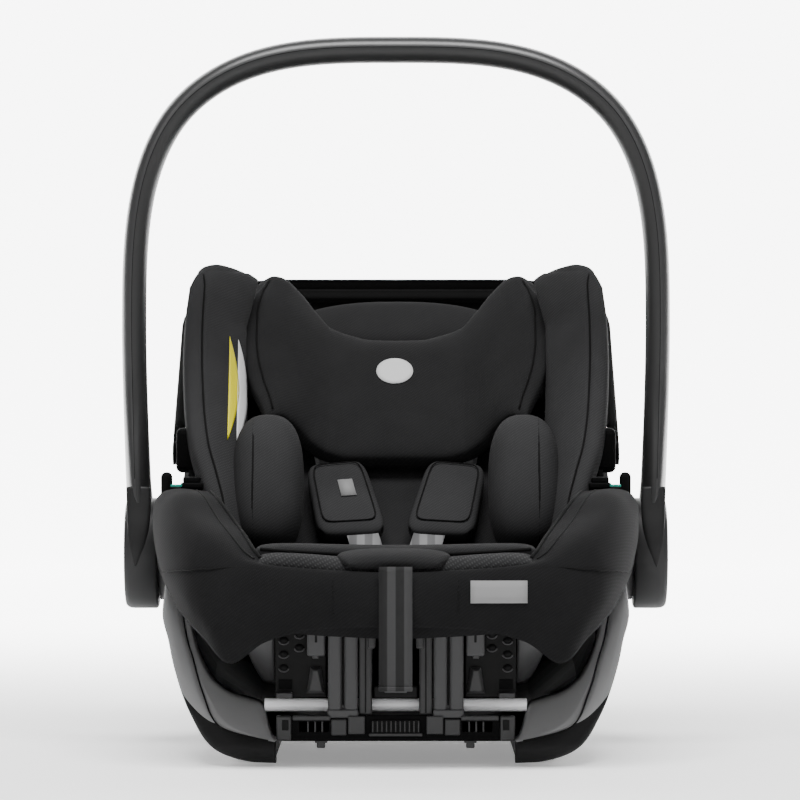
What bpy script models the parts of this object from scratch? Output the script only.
"""Infant car seat: a carrier with a swinging handle, a reclining bucket, a sliding headrest and a folding hood.

Metres, +Z up, +Y toward the head end, origin under the middle of the bounding box.
Left means -X and right means +X.
"""

import math

import bmesh
import bpy
from mathutils import Matrix, Vector

# Handle
HUB_Y = -0.030
HUB_Z = 0.154
HUB_R = 0.045
HUB_IN = 0.1928
HUB_OUT = 0.2200
ARCH_X = 0.210
ARCH_SPRING_Z = 0.336
ARCH_RISE = 0.228
ARCH_POWER = 3.15
TUBE_HALF_T = 0.0100
TUBE_HALF_D = 0.0165
BUTTON_R = 0.0188
PIN_R = 0.008

# Carrier
BEAM_BACK = 0.037
TRIM_T = 0.0065
BAR_R = 0.005
BAR_Y = -0.2525
BAR_Z = 0.044

# Seat: the backrest plane leans 45 degrees
LEAN = math.radians(45)
BACK_Y = -0.020
BACK_Z = 0.130
WALL = 0.004
GAP = 0.0005

# Hood
HOOD_Y = 0.010
HOOD_Z = 0.235
HOOD_R = 0.285
HOOD_HALF = 0.1825
HOOD_REST = math.radians(29.6)
MID_REST = math.radians(23.4)

# Each row: Y, half width, rim height, bottom height
BUCKET = (
    (-0.300, 0.105, 0.152, 0.128),
    (-0.250, 0.146, 0.176, 0.110),
    (-0.200, 0.164, 0.186, 0.084),
    (-0.150, 0.170, 0.192, 0.062),
    (-0.100, 0.170, 0.194, 0.050),
    (-0.050, 0.170, 0.196, 0.048),
    (0.000, 0.170, 0.228, 0.068),
    (0.040, 0.170, 0.320, 0.112),
    (0.080, 0.168, 0.378, 0.152),
    (0.120, 0.165, 0.380, 0.192),
    (0.160, 0.160, 0.376, 0.232),
    (0.200, 0.148, 0.368, 0.272),
    (0.230, 0.128, 0.360, 0.306),
    (0.240, 0.116, 0.357, 0.345),
)
SHELL = (
    (-0.262, 0.150, 0.052, 0.018),
    (-0.200, 0.172, 0.086, 0.016),
    (-0.150, 0.177, 0.110, 0.015),
    (-0.100, 0.178, 0.135, 0.015),
    (-0.075, 0.178, 0.150, 0.015),
    (-0.050, 0.178, 0.168, 0.015),
    (-0.020, 0.178, 0.188, 0.015),
    (0.020, 0.178, 0.198, 0.015),
    (0.080, 0.178, 0.214, 0.020),
    (0.140, 0.176, 0.236, 0.034),
    (0.200, 0.170, 0.260, 0.060),
    (0.250, 0.160, 0.276, 0.092),
    (0.295, 0.140, 0.288, 0.140),
    (0.320, 0.120, 0.293, 0.200),
    (0.330, 0.108, 0.295, 0.272),
)

MATERIALS = {
    "handle_black": (0.022, 0.022, 0.024),
    "hub_grey": (0.045, 0.045, 0.048),
    "trim_grey": (0.11, 0.11, 0.115),
    "shell_black": (0.018, 0.018, 0.020),
    "steel": (0.62, 0.62, 0.64),
    "foot_rubber": (0.012, 0.012, 0.012),
    "fabric": (0.026, 0.026, 0.028),
    "fabric_mesh": (0.034, 0.034, 0.036),
    "foam": (0.75, 0.75, 0.75),
    "webbing": (0.20, 0.20, 0.21),
    "hood_fabric": (0.012, 0.012, 0.013),
    "button_red": (0.45, 0.02, 0.02),
    "button_grey": (0.09, 0.09, 0.095),
}


def clear_scene():
    for obj in list(bpy.data.objects):
        bpy.data.objects.remove(obj)


clear_scene()
PARTS = bpy.data.collections.new("infant_car_seat")
CUTTERS = bpy.data.collections.new("cutters")
bpy.context.scene.collection.children.link(PARTS)
bpy.context.scene.collection.children.link(CUTTERS)
CUTTERS.hide_render = True


def material(name):
    found = bpy.data.materials.get(name)
    if found:
        return found
    made = bpy.data.materials.new(name)
    made.use_nodes = True
    shader = made.node_tree.nodes["Principled BSDF"]
    shader.inputs["Base Color"].default_value = (*MATERIALS[name], 1)
    shader.inputs["Roughness"].default_value = 0.5
    if name == "steel":
        shader.inputs["Metallic"].default_value = 1
        shader.inputs["Roughness"].default_value = 0.25
    return made


def finish(name, work, coat, cutter=False):
    """Makes an object of a bmesh, with its faces turned outward."""
    bmesh.ops.remove_doubles(work, verts=work.verts, dist=1e-6)
    bmesh.ops.recalc_face_normals(work, faces=work.faces)
    mesh = bpy.data.meshes.new(name)
    work.to_mesh(mesh)
    work.free()
    obj = bpy.data.objects.new(name, mesh)
    if cutter:
        CUTTERS.objects.link(obj)
        obj.hide_render = True
        obj.display_type = "WIRE"
    else:
        PARTS.objects.link(obj)
        mesh.materials.append(material(coat))
    return obj


def box(name, low, high, coat="", bevel=0.0, cutter=False):
    work = bmesh.new()
    bmesh.ops.create_cube(work, size=1)
    size = [h - lo for lo, h in zip(low, high)]
    middle = [(h + lo) / 2 for lo, h in zip(low, high)]
    bmesh.ops.scale(work, vec=size, verts=work.verts)
    bmesh.ops.translate(work, vec=middle, verts=work.verts)
    obj = finish(name, work, coat, cutter)
    if bevel:
        round_edges(obj, bevel)
    return obj


def cylinder_x(name, x0, x1, radius, y, z, coat="", sides=32, cutter=False):
    """A cylinder along X between x0 and x1."""
    work = bmesh.new()
    bmesh.ops.create_cone(
        work, cap_ends=True, segments=sides, radius1=radius, radius2=radius, depth=abs(x1 - x0)
    )
    turn = Matrix.Rotation(math.radians(90), 4, "Y")
    place = Matrix.Translation(((x0 + x1) / 2, y, z))
    bmesh.ops.transform(work, matrix=place @ turn, verts=work.verts)
    return finish(name, work, coat, cutter)


def round_edges(obj, width, segments=2):
    bevel = obj.modifiers.new("Bevel", "BEVEL")
    bevel.width = width
    bevel.segments = segments
    bevel.limit_method = "ANGLE"
    bevel.angle_limit = math.radians(40)
    bevel.use_clamp_overlap = True


def combine(obj, other, operation):
    joined = obj.modifiers.new(operation.title(), "BOOLEAN")
    joined.operation = operation
    joined.solver = "EXACT"
    joined.object = other


def cut(obj, other):
    combine(obj, other, "DIFFERENCE")


def add(obj, other):
    combine(obj, other, "UNION")


def strip_faces(work, rows, closed):
    """Faces between neighbouring rows of vertices."""
    for first, second in zip(rows, rows[1:]):
        count = len(first)
        for j in range(count if closed else count - 1):
            k = (j + 1) % count
            work.faces.new((first[j], first[k], second[k], second[j]))


def loft(name, rings, coat, cutter=False):
    """A solid through closed rings, with flat ends."""
    work = bmesh.new()
    rows = [[work.verts.new(p) for p in ring] for ring in rings]
    strip_faces(work, rows, True)
    work.faces.new(rows[0])
    work.faces.new(rows[-1])
    return finish(name, work, coat, cutter)


def sandwich(name, lower, upper, coat, cutter=False):
    """A solid between two matching grids of points."""
    work = bmesh.new()
    a = [[work.verts.new(p) for p in row] for row in lower]
    b = [[work.verts.new(p) for p in row] for row in upper]
    strip_faces(work, a, False)
    strip_faces(work, b, False)
    for row_a, row_b in ((a[0], b[0]), (a[-1], b[-1])):
        strip_faces(work, [row_a, row_b], False)
    for column in (0, -1):
        side_a = [row[column] for row in a]
        side_b = [row[column] for row in b]
        strip_faces(work, [side_a, side_b], False)
    return finish(name, work, coat, cutter)


def normals(grid, toward):
    """A unit normal at each grid point, on the side that faces the point toward."""
    rows = len(grid)
    columns = len(grid[0])
    found = []
    for i in range(rows):
        line = []
        for j in range(columns):
            along = grid[min(i + 1, rows - 1)][j] - grid[max(i - 1, 0)][j]
            across = grid[i][min(j + 1, columns - 1)] - grid[i][max(j - 1, 0)]
            line.append(along.cross(across).normalized())
        found.append(line)
    i, j = rows // 2, columns // 2
    if (Vector(toward) - grid[i][j]).dot(found[i][j]) < 0:
        found = [[-n for n in line] for line in found]
    return found


def offset(grid, direction, distance):
    return [
        [p + n * distance for p, n in zip(row, line)] for row, line in zip(grid, direction)
    ]


def smooth_at(table, y):
    """A smooth curve through the rows of a table, read at y."""
    last = len(table) - 1
    i = 0
    while i < last - 1 and table[i + 1][0] < y:
        i += 1
    t = (y - table[i][0]) / (table[i + 1][0] - table[i][0])
    t = min(max(t, 0.0), 1.0)
    span = table[i + 1][0] - table[i][0]
    values = []
    for k in range(1, len(table[0])):
        p1, p2 = table[i][k], table[i + 1][k]
        m1 = slope(table, i, k) * span
        m2 = slope(table, i + 1, k) * span
        a = 2 * t**3 - 3 * t**2 + 1
        b = t**3 - 2 * t**2 + t
        values.append(a * p1 + b * m1 + (1 - a) * p2 + (t**3 - t**2) * m2)
    return values


def slope(table, i, k):
    """The slope at one row, kept flat where the values turn round."""
    if i in (0, len(table) - 1):
        return 0.0 if i else (table[1][k] - table[0][k]) / (table[1][0] - table[0][0])
    before = (table[i][k] - table[i - 1][k]) / (table[i][0] - table[i - 1][0])
    after = (table[i + 1][k] - table[i][k]) / (table[i + 1][0] - table[i][0])
    if before * after <= 0:
        return 0.0
    return 2 * before * after / (before + after)


def tub_point(table, y, degrees, power=3.0):
    """A point of a U-shaped tub: 0 degrees is the left rim, 90 the bottom and 180 the right rim."""
    half, rim, bottom = smooth_at(table, y)
    angle = math.radians(degrees)
    c = math.cos(angle)
    s = max(math.sin(angle), 0.0)
    x = -half * math.copysign(abs(c) ** (2 / power), c)
    z = rim - (rim - bottom) * s ** (2 / power)
    return Vector((x, y, z))


def tub_grid(table, ys, angles):
    return [[tub_point(table, y, a) for a in angles] for y in ys]


def spread(low, high, count):
    return [low + (high - low) * i / (count - 1) for i in range(count)]


BUCKET_YS = [row[0] for row in BUCKET]
BUCKET_YS = sorted(BUCKET_YS + [-0.290, -0.275, -0.225, -0.175, -0.125, -0.075, -0.025, 0.020, 0.060, 0.218])
BUCKET_ANGLES = [0, 3, 6, 9, 14, 20, 28, 37, 47, 58, 70, 82]
BUCKET_ANGLES = BUCKET_ANGLES + [180 - a for a in BUCKET_ANGLES[::-1]]
BUCKET_GRID = tub_grid(BUCKET, BUCKET_YS, BUCKET_ANGLES)
BUCKET_INWARD = normals(BUCKET_GRID, (0, -0.03, 0.45))


def lining(name, y_low, y_high, low, high, near, far, coat):
    """A layer that follows the bucket between two stations, two angles and two depths."""
    rows = [i for i, y in enumerate(BUCKET_YS) if y_low <= y <= y_high]
    columns = [j for j, a in enumerate(BUCKET_ANGLES) if low <= a <= high]
    faces = []
    for depth in (near, far):
        faces.append(
            [[BUCKET_GRID[i][j] + BUCKET_INWARD[i][j] * depth for j in columns] for i in rows]
        )
    return sandwich(name, faces[0], faces[1], coat)


def local(u, v, w):
    """A point given across, up along and out from the backrest plane."""
    y = BACK_Y + v * math.cos(LEAN) - w * math.sin(LEAN)
    z = BACK_Z + v * math.sin(LEAN) + w * math.cos(LEAN)
    return Vector((u, y, z))


def side_name(name, side):
    return name + ("_left" if side < 0 else "_right")


def oval(half_a, half_b, count, power):
    """Points of a rounded rectangle about the origin."""
    points = []
    for i in range(count):
        angle = 2 * math.pi * (i + 0.5) / count
        c, s = math.cos(angle), math.sin(angle)
        a = half_a * math.copysign(abs(c) ** (2 / power), c)
        b = half_b * math.copysign(abs(s) ** (2 / power), s)
        points.append((a, b))
    return points


# ---------------------------------------------------------------- handle


def arch_path():
    """The handle's centre line in the XZ plane, from the left foot to the right foot."""
    right = [(ARCH_X - 0.005, 0.176), (ARCH_X - 0.004, 0.205), (ARCH_X - 0.002, 0.250)]
    right += [(ARCH_X, 0.300)]
    for i in range(13):
        angle = math.radians(90) * (i / 12) ** 1.35
        x = ARCH_X * math.cos(angle) ** (2 / ARCH_POWER)
        z = ARCH_SPRING_Z + ARCH_RISE * math.sin(angle) ** (2 / ARCH_POWER)
        right.append((max(x, 0.0), z))
    left = [(-x, z) for x, z in right[:-1]]
    return left + right[::-1]


def tube_depth(z):
    """Half the tube's depth: it widens toward the hubs."""
    t = min(max((0.300 - z) / 0.110, 0.0), 1.0)
    return TUBE_HALF_D + (0.038 - TUBE_HALF_D) * t * t * (3 - 2 * t)


def handle_tube():
    path = arch_path()
    rings = []
    for i, (x, z) in enumerate(path):
        x0, z0 = path[max(i - 1, 0)]
        x1, z1 = path[min(i + 1, len(path) - 1)]
        length = math.hypot(x1 - x0, z1 - z0)
        nx, nz = -(z1 - z0) / length, (x1 - x0) / length
        ring = []
        for a, b in oval(TUBE_HALF_T, tube_depth(z), 14, 2.8):
            ring.append(Vector((x + nx * a, HUB_Y + b, z + nz * a)))
        rings.append(ring)
    tube = loft("handle_tube", rings, "handle_black")
    for side in (-1, 1):
        cutter = cylinder_x(
            side_name("cut_tube", side), side * 0.185, side * 0.230,
            HUB_R + GAP, HUB_Y, HUB_Z, sides=48, cutter=True,
        )
        cut(tube, cutter)


def hub(side):
    name = side_name("handle_hub", side)
    body = cylinder_x(
        name, side * HUB_IN, side * HUB_OUT, HUB_R, HUB_Y, HUB_Z, "hub_grey", 48
    )
    round_edges(body, 0.005)
    for label, x0, x1, radius in (
        ("recess", HUB_IN - 0.002, 0.203, 0.030),
        ("bore", 0.200, 0.210, PIN_R + 0.0004),
        ("pocket", 0.208, HUB_OUT + 0.004, BUTTON_R + 0.0006),
    ):
        cutter = cylinder_x(
            f"cut_{label}_{side}", side * x0, side * x1, radius, HUB_Y, HUB_Z, cutter=True
        )
        cut(body, cutter)


def handle_button(side):
    name = side_name("handle_button", side)
    knob = cylinder_x(name, side * 0.213, side * 0.221, BUTTON_R, HUB_Y, HUB_Z, "button_grey")
    round_edges(knob, 0.0015)


def lock_ring(side):
    """The toothed ring that holds the handle at its set angles."""
    teeth = 24
    outline = []
    for i in range(teeth * 2):
        radius = 0.028 if i % 2 else 0.0255
        angle = math.pi * i / teeth
        outline.append((HUB_Y + radius * math.cos(angle), HUB_Z + radius * math.sin(angle)))
    rings = [[Vector((side * x, y, z)) for y, z in outline] for x in (0.1936, 0.2012)]
    ring = loft(side_name("lock_ring", side), rings, "steel")
    cutter = cylinder_x(
        f"cut_ring_{side}", side * 0.190, side * 0.205, 0.014, HUB_Y, HUB_Z, cutter=True
    )
    cut(ring, cutter)


def pivot(side):
    name = side_name("pivot_housing", side)
    boss = cylinder_x(name, side * 0.1786, side * 0.1924, 0.038, HUB_Y, HUB_Z, "shell_black", 40)
    stub = cylinder_x(f"stub_{side}", side * 0.185, side * 0.206, PIN_R, HUB_Y, HUB_Z, cutter=True)
    add(boss, stub)


# ---------------------------------------------------------------- carrier

BEAM = (
    # X, Z, half width
    (0.1775, 0.1280, 0.0095),
    (0.1750, 0.1100, 0.0105),
    (0.1695, 0.0880, 0.0118),
    (0.1610, 0.0660, 0.0130),
    (0.1490, 0.0480, 0.0155),
    (0.1330, 0.0365, 0.0190),
    (0.1150, 0.0290, 0.0225),
    (0.0960, 0.0270, 0.0240),
)


def front_y(z):
    """How far forward the carrier's slanted front edge is at a height."""
    return -0.115 - (0.145 - z) * 1.40


def beam_rings(side, near, far, shrink=0.0):
    rings = []
    for i, (x, z, half) in enumerate(BEAM):
        x0, z0, _ = BEAM[max(i - 1, 0)]
        x1, z1, _ = BEAM[min(i + 1, len(BEAM) - 1)]
        length = math.hypot(x1 - x0, z1 - z0)
        nx, nz = -(z1 - z0) / length, (x1 - x0) / length
        ring = []
        reach = half - shrink
        for a, y in ((-reach, near), (reach, near), (reach, far), (-reach, far)):
            height = max(z + nz * a, 0.0055)
            ring.append(Vector((side * (x + nx * a), front_y(height) + y, height)))
        rings.append(ring)
    return rings


def beam(side):
    arm = loft(side_name("carrier_arm", side), beam_rings(side, TRIM_T + GAP, BEAM_BACK), "shell_black")
    round_edges(arm, 0.0015, 1)
    trim = loft(side_name("arm_trim", side), beam_rings(side, 0.0, TRIM_T, 0.0005), "trim_grey")
    round_edges(trim, 0.0015, 1)


def outer_shell():
    ys = [row[0] for row in SHELL]
    ys = sorted(ys + [-0.230, -0.175, 0.050, 0.110, 0.170, 0.225, 0.275])
    grid = tub_grid(SHELL, ys, [0, 4, 9, 16, 26, 40, 60, 80, 100, 120, 140, 154, 164, 171, 176, 180])
    inward = normals(grid, (0, 0, 0.4))
    shell = sandwich("outer_shell", grid, offset(grid, inward, WALL), "shell_black")
    work = bmesh.new()
    top = 0.24
    corners = [(-0.34, -0.02), (-0.34, top)]
    corners += [(front_y(top) + BEAM_BACK + 0.001, top), (front_y(-0.02) + BEAM_BACK + 0.001, -0.02)]
    ends = []
    for x in (-0.25, 0.25):
        ends.append([work.verts.new((x, y, z)) for y, z in corners])
    strip_faces(work, ends, True)
    work.faces.new(ends[0])
    work.faces.new(ends[1])
    cut(shell, finish("cut_shell_front", work, "", True))


def shell_height(x, y):
    """The height of the shell's outer face over a point of its underside."""
    half, rim, bottom = smooth_at(SHELL, y)
    share = min(abs(x) / half, 1.0)
    return rim - (rim - bottom) * (1 - share**3) ** (1 / 3)


def rail(side):
    rings = []
    for y in (-0.2325, -0.200, -0.120, -0.040, 0.040, 0.110, 0.160, 0.190, 0.215):
        lift = max(y - 0.130, 0.0)
        low = 0.0042 + 7.5 * lift * lift
        ring = [(0.092, low), (0.128, low)]
        for x in (0.128, 0.110, 0.092):
            ring.append((x, max(shell_height(x, y) - 0.0030, low + 0.005)))
        rings.append([Vector((side * x, y, z)) for x, z in ring])
    loft(side_name("base_rail", side), rings, "shell_black")


def foot(side, name, y0, y1, x0=0.097, x1=0.123):
    low = (min(side * x0, side * x1), y0, 0.0)
    high = (max(side * x0, side * x1), y1, 0.0038)
    box(side_name(name, side), low, high, "foot_rubber", 0.001)


def mirrored_box(name, side, low, high, coat="", bevel=0.0, cutter=False):
    x0, x1 = sorted((side * low[0], side * high[0]))
    return box(name, (x0, low[1], low[2]), (x1, high[1], high[2]), coat, bevel, cutter)


def side_panel(side):
    """The perforated panel beside the guide ribs."""
    name = side_name("side_panel", side)
    panel = mirrored_box(name, side, (0.0535, -0.263, 0.0505), (0.0925, -0.260, 0.098), "shell_black")
    holes = ((0.0835, 0.092), (0.0835, 0.0815), (0.0835, 0.072), (0.0715, 0.0975 - 0.005), (0.0715, 0.083))
    for i, (x, z) in enumerate(holes):
        cutter = mirrored_box(
            f"cut_hole_{i}_{side}", side, (x - 0.003, -0.27, z - 0.002), (x + 0.003, -0.25, z + 0.002),
            cutter=True,
        )
        cut(panel, cutter)
    cutter = mirrored_box(
        f"cut_window_{side}", side, (0.0785, -0.27, 0.0555), (0.0885, -0.25, 0.0615), cutter=True
    )
    cut(panel, cutter)


def guide_rib(side):
    name = side_name("guide_rib", side)
    rib = mirrored_box(name, side, (0.0265, -0.276, 0.0385), (0.0525, -0.2605, 0.1035), "trim_grey", 0.0015)
    cutter = mirrored_box(
        f"cut_rib_{side}", side, (0.0385, -0.280, 0.046), (0.0425, -0.272, 0.110), cutter=True
    )
    cut(rib, cutter)


def base_tray():
    """The tray that locks on the in-car base, with a slatted grille."""
    tray = box("base_tray", (-0.0885, -0.276, 0.0175), (0.0885, -0.270, 0.0375), "shell_black", 0.001)
    floor = box("tray_floor", (-0.0885, -0.2715, 0.0175), (0.0885, -0.2570, 0.0215), cutter=True)
    add(tray, floor)
    for side in (-1, 1):
        window = mirrored_box(
            f"cut_tray_{side}", side, (0.051, -0.285, 0.0245), (0.074, -0.262, 0.0325), cutter=True
        )
        cut(tray, window)
    for i in range(5):
        x = -0.0164 + i * 0.0082
        slot = box(f"cut_slat_{i}", (x - 0.0024, -0.285, 0.0250), (x + 0.0024, -0.262, 0.0325), cutter=True)
        cut(tray, slot)


def latch_bar():
    cylinder_x("latch_bar", -0.091, 0.091, BAR_R, BAR_Y, BAR_Z, "steel", 20)


# ---------------------------------------------------------------- seat


def bucket():
    lining("seat_bucket", -0.300, 0.240, 0, 180, 0.0, WALL, "shell_black")


def cushions():
    lining("foam_liner", -0.200, 0.219, 58, 122, 0.0046, 0.0150, "foam")
    lining("seat_pad", -0.291, -0.049, 58, 122, 0.0156, 0.0240, "fabric")
    lining("insert_base", -0.276, -0.049, 58, 122, 0.0246, 0.0330, "fabric_mesh")
    lining("back_pad", -0.001, 0.219, 70, 110, 0.0156, 0.0460, "fabric")


def side_wing(side):
    low, high = (3, 37) if side < 0 else (143, 177)
    lining(side_name("side_wing", side), -0.001, 0.219, low, high, 0.0046, 0.0210, "fabric")


def front_wing(side):
    """The padded cover over the bucket's front side rim."""
    low, high = (0, 9) if side < 0 else (171, 180)
    lining(side_name("front_wing", side), -0.276, -0.099, low, high, -0.0180, -0.0006, "fabric")


def skirt():
    """The cover's front flap with an arched hem."""
    columns = spread(-0.120, 0.120, 17)
    front = []
    for i in range(5):
        row = []
        for x in columns:
            share = abs(x) / 0.120
            hem = 0.106 - 0.038 * max(share - 0.25, 0.0) ** 2 / 0.5625
            z = 0.156 + (hem - 0.156) * i / 4
            y = -0.3225 + 0.020 * share**2
            row.append(Vector((x, y, z)))
        front.append(row)
    back = [[p + Vector((0, 0.006, 0)) for p in row] for row in front]
    sandwich("front_skirt", front, back, "fabric")


def bolster(side):
    """The infant insert's side pillow."""
    rings = []
    for v, w0, w1, x0, x1 in (
        (0.008, 0.008, 0.036, 0.092, 0.124),
        (0.030, 0.006, 0.050, 0.087, 0.129),
        (0.080, 0.006, 0.056, 0.086, 0.131),
        (0.115, 0.006, 0.054, 0.088, 0.129),
        (0.129, 0.010, 0.046, 0.092, 0.124),
    ):
        ring = []
        for a, b in oval((x1 - x0) / 2, (w1 - w0) / 2, 12, 2.6):
            ring.append(local(side * ((x0 + x1) / 2 + a), v, (w0 + w1) / 2 + b))
        rings.append(ring)
    loft(side_name("hip_bolster", side), rings, "fabric")


def slab(name, corners, w0, w1, coat):
    """A flat piece on the backrest: four corners given as across and up."""
    rows = []
    for w in (w0, w1):
        a, b, c, d = [local(u, v, w) for u, v in corners]
        rows.append([[a, b], [d, c]])
    return sandwich(name, rows[0], rows[1], coat)


def harness(side):
    pad = slab(
        side_name("shoulder_pad", side),
        [(side * 0.074, 0.131), (side * 0.028, 0.131), (side * 0.008, 0.038), (side * 0.062, 0.038)],
        0.0062, 0.0150, "fabric",
    )
    round_edges(pad, 0.003)
    slab(
        side_name("harness_strap", side),
        [(side * 0.068, 0.205), (side * 0.036, 0.205), (side * 0.010, 0.006), (side * 0.038, 0.006)],
        -0.0003, 0.0012, "webbing",
    )


def buckle_group():
    shell = box("buckle", (-0.022, -0.178, 0.1150), (0.022, -0.122, 0.1330), "button_grey", 0.003)
    pocket = box("cut_buckle", (-0.0135, -0.172, 0.1250), (0.0135, -0.142, 0.1410), cutter=True)
    cut(shell, pocket)
    box("buckle_button", (-0.0130, -0.1715, 0.1285), (0.0130, -0.1425, 0.1350), "button_red", 0.001)
    rows = []
    for lift in (0.0, 0.0016):
        row = []
        for y in (-0.278, -0.240, -0.210, -0.182):
            _, _, bottom = smooth_at(BUCKET, y)
            row.append([Vector((x, y, bottom + 0.0400 + lift)) for x in (-0.019, 0.019)])
        rows.append(row)
    sandwich("crotch_strap", rows[0], rows[1], "webbing")
    rows = []
    for lift in (0.0, 0.009):
        row = []
        for y, half in ((-0.281, 0.030), (-0.266, 0.042), (-0.240, 0.042), (-0.222, 0.030)):
            _, _, bottom = smooth_at(BUCKET, y)
            row.append([Vector((x, y, bottom + 0.0440 + lift)) for x in (-half, 0, half)])
        rows.append(row)
    sandwich("crotch_pad", rows[0], rows[1], "fabric")


def front_adjuster():
    """The harness adjuster on the front lip, its button and the hanging pull strap."""
    housing = box("adjuster_housing", (-0.021, -0.3205, 0.1570), (0.021, -0.2905, 0.1700), "button_grey", 0.002)
    pocket = box("cut_adjuster", (-0.012, -0.3145, 0.1640), (0.012, -0.2965, 0.1800), cutter=True)
    cut(housing, pocket)
    box("adjuster_button", (-0.0113, -0.3138, 0.1668), (0.0113, -0.2972, 0.1722), "button_grey", 0.001)
    rows = []
    for shift in (0.0, 0.0022):
        row = []
        for z in (0.152, 0.130, 0.105, 0.080, 0.060):
            bow = 0.0045 * math.sin(math.pi * (0.152 - z) / 0.110)
            y = -0.3255 - bow + shift
            row.append([Vector((x, y, z)) for x in (-0.0127, 0.0127)])
        rows.append(row)
    sandwich("pull_strap", rows[0], rows[1], "webbing")


def belt_guide(side):
    guide = mirrored_box(
        side_name("belt_guide", side), side, (0.1745, -0.077, 0.2030), (0.1905, -0.047, 0.2180),
        "button_grey", 0.002,
    )
    slot = mirrored_box(
        f"cut_guide_{side}", side, (0.1785, -0.085, 0.2068), (0.1865, -0.040, 0.2142), cutter=True
    )
    cut(guide, slot)


def hood_mount(side):
    mount = cylinder_x(
        side_name("hood_mount", side), side * 0.1706, side * 0.1768, 0.014, HOOD_Y, HOOD_Z, "button_grey"
    )
    stud = cylinder_x(f"stud_{side}", side * 0.175, side * 0.1875, 0.004, HOOD_Y, HOOD_Z, sides=20, cutter=True)
    add(mount, stud)


# ---------------------------------------------------------------- headrest

REST_V0 = 0.134
REST_V1 = 0.286
REST_W = 0.0005


def rest_point(share, s):
    """A point of the headrest's back: share runs up it and s across it, from -1 to 1."""
    top = 0.262 + (REST_V1 - 0.262) * min(abs(s) * 1.25, 1.0) ** 2
    v = REST_V0 + (top - REST_V0) * share
    half = 0.112 + 0.018 * math.sin(math.pi * min(share / 0.80, 1.0)) - 0.008 * share
    tip = 0.058 + 0.016 * math.sin(math.pi * share * 0.6)
    across = min(abs(s) * 1.35, 1.0)
    rise = max(abs(s) - 0.52, 0.0) / 0.48
    u = math.copysign(half * math.sin(across * math.pi / 2) ** 0.9, s) if s else 0.0
    return local(u, v, REST_W + tip * rise * rise * (3 - 2 * rise))


def headrest():
    across = [-1, -0.9, -0.8, -0.7, -0.6, -0.5, -0.3, -0.1, 0.1, 0.3, 0.5, 0.6, 0.7, 0.8, 0.9, 1]
    grid = [[rest_point(share, s) for s in across] for share in spread(0, 1, 7)]
    outward = normals(grid, (0, -0.05, 0.45))
    sandwich("headrest_core", offset(grid, outward, 0.0010), offset(grid, outward, 0.0045), "shell_black")
    sandwich("headrest_pad", offset(grid, outward, 0.0050), offset(grid, outward, 0.0200), "fabric")


# ---------------------------------------------------------------- hood


def hood_line(half, reach, corner, step):
    """The hood bow's outline: across and out from the pivot line, left arm to right arm."""
    points = [(-half, 0.0), (-half, 0.06), (-half, 0.13)]
    for i in range(step + 1):
        angle = math.radians(90) * i / step
        x = -half + corner * (1 - math.cos(angle))
        points.append((x, reach - corner + corner * math.sin(angle)))
    middle = points[-1][0]
    points.append((middle / 2, reach))
    points.append((0.0, reach))
    return points + [(-x, r) for x, r in points[-2::-1]]


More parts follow.
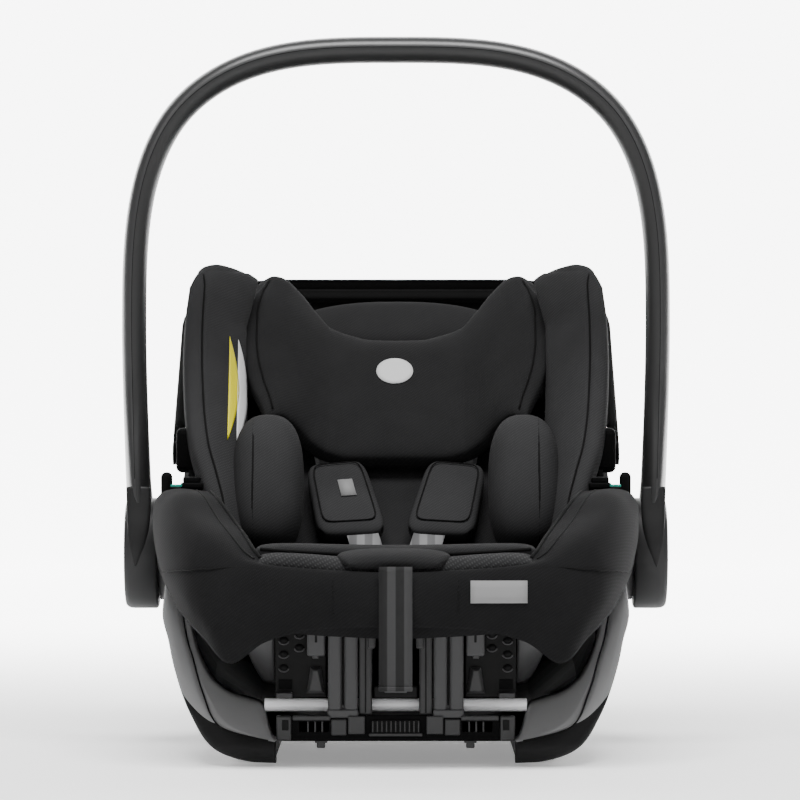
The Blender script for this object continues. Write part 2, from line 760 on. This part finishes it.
def hood_bow(name, half, reach, tilt, high, thick, coat):
    """A bent strip from pivot to pivot, standing across the hood's plane."""
    line = hood_line(half, reach, 0.080, 6)
    lower = []
    upper = []
    for i, (x, r) in enumerate(line):
        x0, r0 = line[max(i - 1, 0)]
        x1, r1 = line[min(i + 1, len(line) - 1)]
        length = math.hypot(x1 - x0, r1 - r0)
        nx, nr = -(r1 - r0) / length, (x1 - x0) / length
        for rows, t in ((lower, -thick / 2), (upper, thick / 2)):
            grow = high * (0.45 + 0.55 * min(r / 0.16, 1.0))
            row = []
            for h in (-grow / 2, grow / 2):
                out = r + nr * t
                y = HOOD_Y + out * math.cos(tilt) - h * math.sin(tilt)
                z = HOOD_Z + out * math.sin(tilt) + h * math.cos(tilt)
                row.append(Vector((x + nx * t, y, z)))
            rows.append(row)
    bow = sandwich(name, lower, upper, coat)
    for side in (-1, 1):
        inner = side * (half - thick / 2)
        outer = side * (half + thick / 2)
        eye = cylinder_x(f"eye_{name}_{side}", inner, outer, 0.0095, HOOD_Y, HOOD_Z, sides=24, cutter=True)
        add(bow, eye)
    for side in (-1, 1):
        hole = cylinder_x(
            f"hole_{name}_{side}", side * (half - 0.01), side * (half + 0.01), 0.0045,
            HOOD_Y, HOOD_Z, sides=24, cutter=True,
        )
        cut(bow, hole)
    return bow


def hood():
    hood_bow("hood_bow", HOOD_HALF, HOOD_R, HOOD_REST, 0.018, 0.0024, "shell_black")
    hood_bow("hood_mid_bow", HOOD_HALF - 0.0036, HOOD_R - 0.0040, MID_REST, 0.010, 0.0024, "shell_black")
    line = hood_line(HOOD_HALF + 0.0026, HOOD_R + 0.0030, 0.083, 6)[2:-2]
    rows = []
    for share in (0.0, 0.5, 1.0):
        tilt = MID_REST - math.radians(0.8) + (HOOD_REST - MID_REST + math.radians(0.4)) * share
        row = []
        for x, r in line:
            row.append(Vector((x, HOOD_Y + r * math.cos(tilt), HOOD_Z + r * math.sin(tilt))))
        rows.append(row)
    outward = normals(rows, (0, 1.0, 0.2))
    sandwich("hood_canopy", offset(rows, outward, -0.0008), offset(rows, outward, 0.0008), "hood_fabric")


# ---------------------------------------------------------------- levers


def levers():
    """The base release grip on the shell's rear rim and the recline pull between the guide ribs."""
    box("base_release_grip", (-0.045, 0.3025, 0.2975), (0.045, 0.3265, 0.3045), "button_grey", 0.002)
    pull = box("recline_pull", (-0.0165, -0.2745, 0.0400), (0.0165, -0.2625, 0.0600), "button_grey", 0.0015)
    slot = box("cut_pull", (-0.0110, -0.280, 0.0465), (0.0110, -0.269, 0.0535), cutter=True)
    cut(pull, slot)


handle_tube()
for SIDE in (-1, 1):
    hub(SIDE)
    handle_button(SIDE)
    lock_ring(SIDE)
    pivot(SIDE)
    beam(SIDE)
    rail(SIDE)
    foot(SIDE, "foot_pad", -0.230, 0.125)
    side_panel(SIDE)
    guide_rib(SIDE)
    side_wing(SIDE)
    front_wing(SIDE)
    bolster(SIDE)
    harness(SIDE)
    belt_guide(SIDE)
    hood_mount(SIDE)
outer_shell()
base_tray()
latch_bar()
bucket()
cushions()
skirt()
buckle_group()
front_adjuster()
headrest()
hood()
levers()
